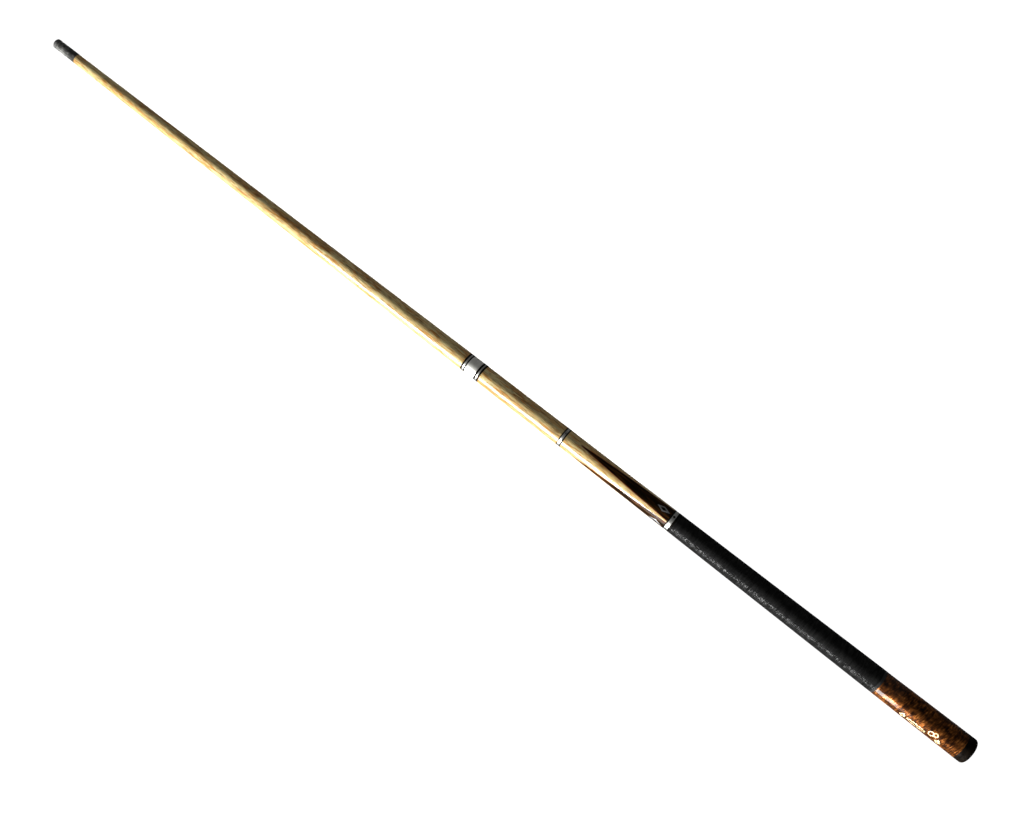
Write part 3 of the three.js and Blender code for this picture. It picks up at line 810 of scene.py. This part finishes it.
surface_x = np.linspace(splice_front, splice_rear, SPLICE_ROWS)
bore_end = tenon_end + CLEARANCE
stud_end = splice_rear - STUD_DEPTH
inner_front = [(bore_end, 0), (bore_end, RING_BORE), (splice_front, RING_BORE)]
inner_rear = [(splice_rear, STUD_BORE), (stud_end, STUD_BORE), (stud_end, 0)]
row_x = np.concatenate([[x for x, _ in inner_front], surface_x, [x for x, _ in inner_rear]])
spread_x = np.concatenate([[splice_front] * 3, surface_x, [splice_rear] * 3])
local = quarter_angles(half_spread(spread_x))
keel = keel_radius(spread_x)[:, None] - VENEER_GAP
side = np.abs(local)
in_groove = np.arange(local.shape[1]) < GROOVE_COLUMNS
valley = keel * POINT_SLOPE / (POINT_SLOPE * np.cos(side) - np.sin(side))
round_r = cue_radius(spread_x)[:, None]
surface_r = np.where(in_groove, np.minimum(valley, round_r), round_r)
surface_r[:3] = np.array([r for _, r in inner_front])[:, None]
surface_r[-3:] = np.array([r for _, r in inner_rear])[:, None]
edge_gap = np.minimum(side - side[:, :1], QUARTER - side - side[:, :1]) * round_r
edge_gap[half_spread(spread_x) < POINT_BEGINS] = 1.0
angles = np.hstack([local + q * QUARTER for q in range(POINTS)])
splice_grid = at_angle(row_x[:, None], np.tile(surface_r, POINTS), angles)
marks = {"edge": np.tile(np.where(in_groove, 0.0, edge_gap), POINTS)}
made("spliced_forearm", splice_grid, spliced_maple, "butt", ["pointed_forearm"], marks=marks)


def point_grid(centre):
    """Sections of a point: the arc from -spread to spread, then straight sides down to the keel."""
    x = np.linspace(point_front + 2 * CLEARANCE, splice_rear - CLEARANCE, POINT_ROWS)
    spread, r, k = half_spread(x)[:, None], cue_radius(x)[:, None], keel_radius(x)[:, None]
    arc = np.linspace(-1, 1, ARC_COLUMNS)
    arc_s, arc_z = r * np.sin(spread * arc), r * np.cos(spread * arc)
    t = np.linspace(0, 1, SIDE_COLUMNS)[1:]
    down_s, down_z = r * np.sin(spread) * (1 - t), r * np.cos(spread) + (k - r * np.cos(spread)) * t
    up_s, up_z = -down_s[:, -2::-1], down_z[:, -2::-1]
    s, z = np.hstack([arc_s, down_s, up_s]), np.hstack([arc_z, down_z, up_z])
    rows_x = np.concatenate([[point_front], x, [x[-1]]])
    front_z, rear_z = (np.full_like(z[:1], at) for at in (cue_radius(point_front), z[-1].mean()))
    s = np.vstack([np.zeros_like(s[:1]), s, np.zeros_like(s[:1])])
    z = np.vstack([front_z, z, rear_z])
    return at_angle(rows_x[:, None], np.hypot(s, z), np.arctan2(s, z) + centre)


for number in range(POINTS):
    grid = point_grid(number * QUARTER)
    made(f"ebony_point_{number + 1}", grid, ebony, "butt", [f"point_{number + 1}"])
print("forearm spliced with", POINTS, "points")

# %% [markdown]
# ## Inlays
# An inlay is cut flat, glued in and then turned down with the wood, so its face is part of the round
# surface. Each one here is drawn as a flat outline, along and round the cue, and wrapped on: the
# distance round becomes an angle. A frame runs between two outlines, and a plate from its middle to
# one. Both have walls and a back, so they are closed.

# %% Inlay helpers
INLAY_LIFT = 0.03 * MM
INLAY_CHAMFER = 0.02 * MM
INLAY_DEPTH = 1.0 * MM


def diamond(length, width, steps=10):
    """A lozenge's outline: four straight sides, with (along, round) points, from its rear corner."""
    corners = np.array([[length, 0], [0, width], [-length, 0], [0, -width], [length, 0]]) / 2
    t = np.linspace(0, 4, 4 * steps, endpoint=False)
    return np.c_[np.interp(t, range(5), corners[:, 0]), np.interp(t, range(5), corners[:, 1])]


def circle(radius, steps=40):
    turn = np.arange(steps) * 2 * np.pi / steps
    return radius * np.c_[np.cos(turn), np.sin(turn)]


def wrapped(flat, x, angle, lift):
    """Lays flat (along, round) points on the cue: round distance over radius is the angle."""
    at = x + flat[..., 0]
    radius = cue_radius(at)
    return at_angle(at, radius + lift, angle + flat[..., 1] / radius)


def inlaid_frame(outer, inner, x, angle):
    """Rings of points across the face from outer to inner outline, then back underneath."""
    t = np.array([0.0, 0.05, 0.5, 0.95, 1.0])[:, None, None]
    face = wrapped(outer * (1 - t) + inner * t, x, angle, INLAY_LIFT)
    face[[0, -1]] = wrapped(np.stack([outer, inner]), x, angle, INLAY_LIFT - INLAY_CHAMFER)
    back = wrapped(np.stack([inner, outer]), x, angle, -INLAY_DEPTH)
    return np.concatenate([face, back])


def inlaid_plate(outline, x, angle):
    """Rings of points from the face's middle out to the outline, then down and in at the back."""
    t = np.array([0.0, 0.33, 0.66, 0.95, 1.0])[:, None, None]
    face = wrapped(outline * t, x, angle, INLAY_LIFT)
    face[-1] = wrapped(outline, x, angle, INLAY_LIFT - INLAY_CHAMFER)
    back = wrapped(outline * np.array([1.0, 0.0])[:, None, None], x, angle, -INLAY_DEPTH)
    return np.concatenate([face, back])


def inlay_centre(node):
    """The x of an inlay's middle."""
    return sum(ends(node)) / 2


print("inlay helpers ready")

# %% [markdown]
# ## Lozenges and ring diamonds
# Each point carries a hollow silver lozenge with a dark diamond inside it. The silver rings before and
# behind the points carry small dark diamonds, in line with the points.

# %% Lozenges in the points, diamonds in the silver rings
lozenge_silver = turned_metal("lozenge_silver", (0.20, 0.20, 0.20), (0.42, 0.42, 0.41), 0.34)
LOZENGE = diamond(18.3 * MM, 6.8 * MM)
LOZENGE_HOLLOW = diamond(9.0 * MM, 3.6 * MM)
LOZENGE_CORE = diamond(8.0 * MM, 3.2 * MM)
RING_DIAMONDS = {
    "middle_ring": diamond(2.3 * MM, 2.2 * MM),
    "wrap_ring": diamond(3.9 * MM, 3.8 * MM),
}
lozenge_x = inlay_centre("lozenge_frame_1")
for number in range(POINTS):
    angle = number * QUARTER
    name, node = f"lozenge_{number + 1}", f"lozenge_frame_{number + 1}"
    grid = inlaid_frame(LOZENGE, LOZENGE_HOLLOW, lozenge_x, angle)
    made(name, grid, lozenge_silver, "butt", [node], loop=True)
    name, node = f"lozenge_centre_{number + 1}", f"lozenge_core_{number + 1}"
    made(name, inlaid_plate(LOZENGE_CORE, lozenge_x, angle), black_resin, "butt", [node])
    for row, outline in RING_DIAMONDS.items():
        grid = inlaid_plate(outline, inlay_centre(f"{row}_silver"), angle)
        made(f"{row}_diamond_{number + 1}", grid, black_resin, "butt")
print("lozenges at", round(lozenge_x / MM, 1), "mm")

# %% [markdown]
# ## The wrap
# The grip is waxed linen thread wound tight, turn against turn. The ridges are real geometry: the
# radius rises and falls once for each thread, with the phase turning once round the cue, so that it is
# one helix. A thread's twist and the small glints where wax has gathered are too fine for a mesh and
# belong in the finish. The last few turns are paler, where hands have rubbed the wax away.

# %% Linen finish
THREAD_WIDTH = 0.9 * MM
RIDGE = 0.10 * MM
linen = Finish("linen", Specular_IOR_Level=0.01, Coat_Roughness=0.24)
each_thread = linen.grain(THREAD_WIDTH, 12 * MM, detail=2)
slow = linen.grain(6 * MM, 14 * MM, detail=4, offset=3.0)
twist = linen.grain(0.45 * MM, 0.5 * MM, detail=2, offset=1.0)
waxed = linen.grain(1.0 * MM, 1.2 * MM, detail=4, offset=5.0)
linen_along = linen.place()[0]
wrap_front, wrap_rear = ends("wrap")
rubbed = linen.between(linen_along, wrap_rear - 3.6 * MM, wrap_rear - 3.0 * MM)
linen_tone = linen.between(each_thread * 0.5 + slow * 0.35 + twist * 0.15, 0.40, 0.62)
linen_colour = linen.mix(linen_tone, (0.0065, 0.0065, 0.0064), (0.018, 0.018, 0.0175))
linen.feed(
    Base_Color=linen.mix(rubbed * 0.8, linen_colour, (0.042, 0.042, 0.042)),
    Roughness=0.75 - linen.between(waxed, 0.48, 0.64) * 0.2,
    Coat_Weight=linen.between(waxed + each_thread * 0.4, 0.74, 0.87) * 0.46,
    Normal=linen.bump(twist * 0.35 + waxed * 0.65, 0.5 * MM, 1.0),
)
print("linen finish made")

# %% Wrap rings and winding
WRAP_THICKNESS = 1.2 * MM
RIDGE_FULLNESS = 0.7
ROWS_PER_THREAD = 6
WRAP_COLUMNS = 48
ring_row("wrap_ring", "butt")
thread_turns = (wrap_rear - wrap_front) / THREAD_WIDTH
wrap_x = np.linspace(wrap_front, wrap_rear, int(thread_turns * ROWS_PER_THREAD))
wrap_angle = np.arange(WRAP_COLUMNS) * 2 * np.pi / WRAP_COLUMNS
phase = (wrap_x[:, None] - wrap_front) / THREAD_WIDTH - wrap_angle / (2 * np.pi)
ridge = np.abs(np.sin(np.pi * phase)) ** RIDGE_FULLNESS
wrap_outer = at_angle(wrap_x[:, None], cue_radius(wrap_x)[:, None] + RIDGE * (ridge - 1), wrap_angle)
wrap_bore = [(x, cue_radius(x) - WRAP_THICKNESS) for x in (wrap_rear, wrap_front)]
wrap_grid = np.concatenate([wrap_outer, carried_round(wrap_bore, WRAP_COLUMNS)])
made("linen_winding", wrap_grid, linen, "butt", ["wrap"], loop=True)
print("turns of thread:", round(thread_turns))

# %% [markdown]
# ## Butt sleeve
# The sleeve is dark figured wood. Figure is grain that waves in and out of the surface, so it shows as
# short bright and dark bars across the stick, leaning a little. That is noise that is tight along the
# cue and long across it, with the place along sheared by the place across. Such wood is silky: its
# reflection takes the wood's own colour, so the finish is partly metallic, most on the bright bars.
# The clear polish is thick at the sleeve's front only.

# %% Figured wood
FIGURE_LEAN = 0.25
figured = Finish("figured_wood", Coat_Roughness=0.05, Specular_IOR_Level=0.02)
sleeve_x, sleeve_y, sleeve_z = figured.place()
leaning = sleeve_x - sleeve_y * FIGURE_LEAN
bars = figured.noise(leaning / (1.5 * MM), sleeve_y / (7 * MM), sleeve_z / (7 * MM), 4.0, 0.5)
cloud = figured.noise(leaning / (9 * MM), sleeve_y / (6 * MM), sleeve_z / (6 * MM), 3.0, 0.4)
pore = figured.grain(5 * MM, 0.4 * MM, detail=4, offset=9.0)
sleeve_front = ends("butt_sleeve")[0]
polish = figured.between(sleeve_x, sleeve_front + 34 * MM, sleeve_front + 20 * MM)
silk = figured.between(bars * 0.6 + cloud * 0.4, 0.40, 0.60)
figured.feed(
    Base_Color=figured.ramp(
        bars * 0.50 + cloud * 0.40 + pore * 0.10,
        (0.38, (0.011, 0.0032, 0.0007)),
        (0.47, (0.040, 0.0120, 0.0025)),
        (0.56, (0.140, 0.0440, 0.0085)),
        (0.66, (0.420, 0.1550, 0.0360)),
    ),
    Metallic=silk * 0.35 + 0.15,
    Roughness=pore * 0.2 + 0.30,
    Coat_Weight=polish * 0.30 + 0.03,
    Normal=figured.bump(bars, 0.04 * MM, 0.35),
)
SLEEVE_BORE = 10.1 * MM
sleeve_grid = carried_round(eased(tube("butt_sleeve", SLEEVE_BORE), loop=True))
made("figured_sleeve", sleeve_grid, figured, "butt", ["butt_sleeve"], loop=True)
print("sleeve finish made")

# %% [markdown]
# ## Ornament in the sleeve
# A plain line of inlay decorates the sleeve: a hollow diamond at each end, a beaded bar, and a pair of
# overlapping rings. It is a neutral pattern and stands for no maker. Old gilt metal is bright on its
# raised grain and browner in the hollows.

# %% Gilt finish and ornament
gilt = Finish("gilt_inlay", Metallic=0.25)
gilt_mottle = gilt.grain(0.9 * MM, 0.7 * MM, detail=5)
gilt.feed(
    Base_Color=gilt.mix(gilt.between(gilt_mottle, 0.36, 0.62), (0.62, 0.38, 0.13), (1.0, 0.86, 0.54)),
    Roughness=gilt_mottle * 0.25 + 0.3,
    Normal=gilt.bump(gilt_mottle, 0.05 * MM, 0.6),
)


def middle_angle(node):
    """The angle of a node's middle from +Z towards -Y."""
    low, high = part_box(node)
    return np.arctan2(-(low.y + high.y), low.z + high.z)


GILT_DIAMOND = diamond(8.0 * MM, 8.4 * MM)
GILT_HOLLOW = diamond(2.4 * MM, 2.6 * MM)
ornament_angle = middle_angle("ornament_bar")
for place in ("front", "rear"):
    node = f"ornament_lozenge_{place}"
    grid = inlaid_frame(GILT_DIAMOND, GILT_HOLLOW, inlay_centre(node), ornament_angle)
    made(f"gilt_diamond_{place}", grid, gilt, "butt", [node], loop=True)

BEADS = 6
BEAD_WIDTH = 6.4 * MM
BAR_STEPS = 160
BAR_HOLLOW = (0.90, 0.42)
bar_front, bar_rear = ends("ornament_bar")
bar_turn = np.linspace(0, 2 * np.pi, BAR_STEPS, endpoint=False)
bar_along = (bar_rear - bar_front) / 2 * np.cos(bar_turn)
bead = 0.5 + 0.5 * np.abs(np.cos(BEADS * np.pi / 2 * np.cos(bar_turn)))
taper_off = np.sign(np.sin(bar_turn)) * np.sqrt(np.abs(np.sin(bar_turn)))
bar_outer = np.c_[bar_along, BEAD_WIDTH / 2 * taper_off * bead]
bar_inner = bar_outer * BAR_HOLLOW
bar_grid = inlaid_frame(bar_outer, bar_inner, inlay_centre("ornament_bar"), ornament_angle)
made("gilt_beaded_bar", bar_grid, gilt, "butt", ["ornament_bar"], loop=True)

RING_WIDTH = 1.1 * MM
LARGE_RING, SMALL_RING = 3.6 * MM, 3.0 * MM
SMALL_RING_SHIFT = 4.7 * MM
SMALL_RING_TURN = np.radians(-8)
ring_x, ring_angle = inlay_centre("ornament_ring"), middle_angle("ornament_ring")
grid = inlaid_frame(circle(LARGE_RING), circle(LARGE_RING - RING_WIDTH), ring_x, ring_angle)
made("gilt_ring_large", grid, gilt, "butt", ["ornament_ring"], loop=True)
small_place = ring_x + SMALL_RING_SHIFT, ring_angle + SMALL_RING_TURN
grid = inlaid_frame(circle(SMALL_RING), circle(SMALL_RING - RING_WIDTH), *small_place)
made("gilt_ring_small", grid, gilt, "butt", loop=True)
print("ornament at", round(np.degrees(ornament_angle), 1), "degrees")

# %% [markdown]
# ## Cap and bumper
# A black cap closes the sleeve, and the rubber bumper fills the whole end with a shallow dome and a
# rounded shoulder. Its ribbed stem is pushed into the cap's bore, and shows when it is pulled out.

# %% Cap and bumper
cap_front, cap_rear = ends("butt_sleeve")[1], ends("butt_cap")[1]
spigot_front = ends("butt_cap")[0]
SPIGOT_RADIUS = 10.0 * MM
CAP_BORE = 6.3 * MM
cap = [
    (spigot_front, CAP_BORE),
    (spigot_front, SPIGOT_RADIUS),
    (cap_front, SPIGOT_RADIUS),
    (cap_front, cue_radius(cap_front)),
    (cap_rear, cue_radius(cap_rear)),
    (cap_rear, CAP_BORE),
]
cap_grid = carried_round(eased(cap, loop=True))
made("black_cap", cap_grid, black_resin, "butt", ["butt_cap"], loop=True)

FLAT_RADIUS, DOME_RADIUS, SHOULDER = 6.0 * MM, 36.0 * MM, 3.5 * MM
STEM_RADIUS, RIB_HEIGHT = 5.9 * MM, 0.3 * MM
RIB_FIRST, RIB_PITCH, RIBS = 8.0 * MM, 6.0 * MM, 3
STEM_BEVEL, STEM_ROWS, CURVE_ROWS = 0.4 * MM, 90, 12
stem_front, bumper_end = ends("bumper")
bumper_radius = cue_radius(cap_rear)
stem_x = np.linspace(stem_front + STEM_BEVEL, cap_rear, STEM_ROWS)
behind = cap_rear - stem_x
rib_phase = (behind - RIB_FIRST) / RIB_PITCH
on_ribs = (rib_phase >= 0) & (rib_phase < RIBS - 0.5)
stem_r = STEM_RADIUS + np.where(on_ribs, RIB_HEIGHT * np.maximum(1 - 2 * (rib_phase % 1), 0), 0.0)
dome_r = np.linspace(bumper_radius - SHOULDER, FLAT_RADIUS, CURVE_ROWS)
dome_drop = DOME_RADIUS - np.sqrt(DOME_RADIUS**2 - (dome_r - FLAT_RADIUS) ** 2)
turn = np.linspace(np.pi / 2, 0, CURVE_ROWS)[:-1]
shoulder_x = bumper_end - dome_drop[0] - SHOULDER * (1 - np.cos(turn))
shoulder_r = bumper_radius - SHOULDER + SHOULDER * np.sin(turn)
bumper_outline = np.vstack([
    [(stem_front, 0), (stem_front, STEM_RADIUS - RIB_HEIGHT)],
    np.c_[stem_x, stem_r],
    [(cap_rear, bumper_radius)],
    np.c_[shoulder_x, shoulder_r],
    np.c_[bumper_end - dome_drop, dome_r],
    [(bumper_end, 0)],
])
made("rubber_bumper", carried_round(bumper_outline), bumper_rubber, "bumper", ["bumper"])
print("bumper", round((bumper_end - cap_rear) / MM, 1), "mm")

# %% [markdown]
# ## Inside the butt
# The core under the wrap, the stud and the weight bolt never show, but they still have finishes, so
# that a section through the cue looks right. Their CAD shapes are right as they are.

# %% Hidden pieces
core_maple = maple_finish("core_maple")
hidden = {"handle_core": core_maple, "handle_stud": pin_steel, "weight_bolt": pin_steel}
for node, finish in hidden.items():
    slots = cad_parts[node].data.materials
    slots.clear()
    slots.append(finish.material)
print("hidden pieces:", ", ".join(hidden))
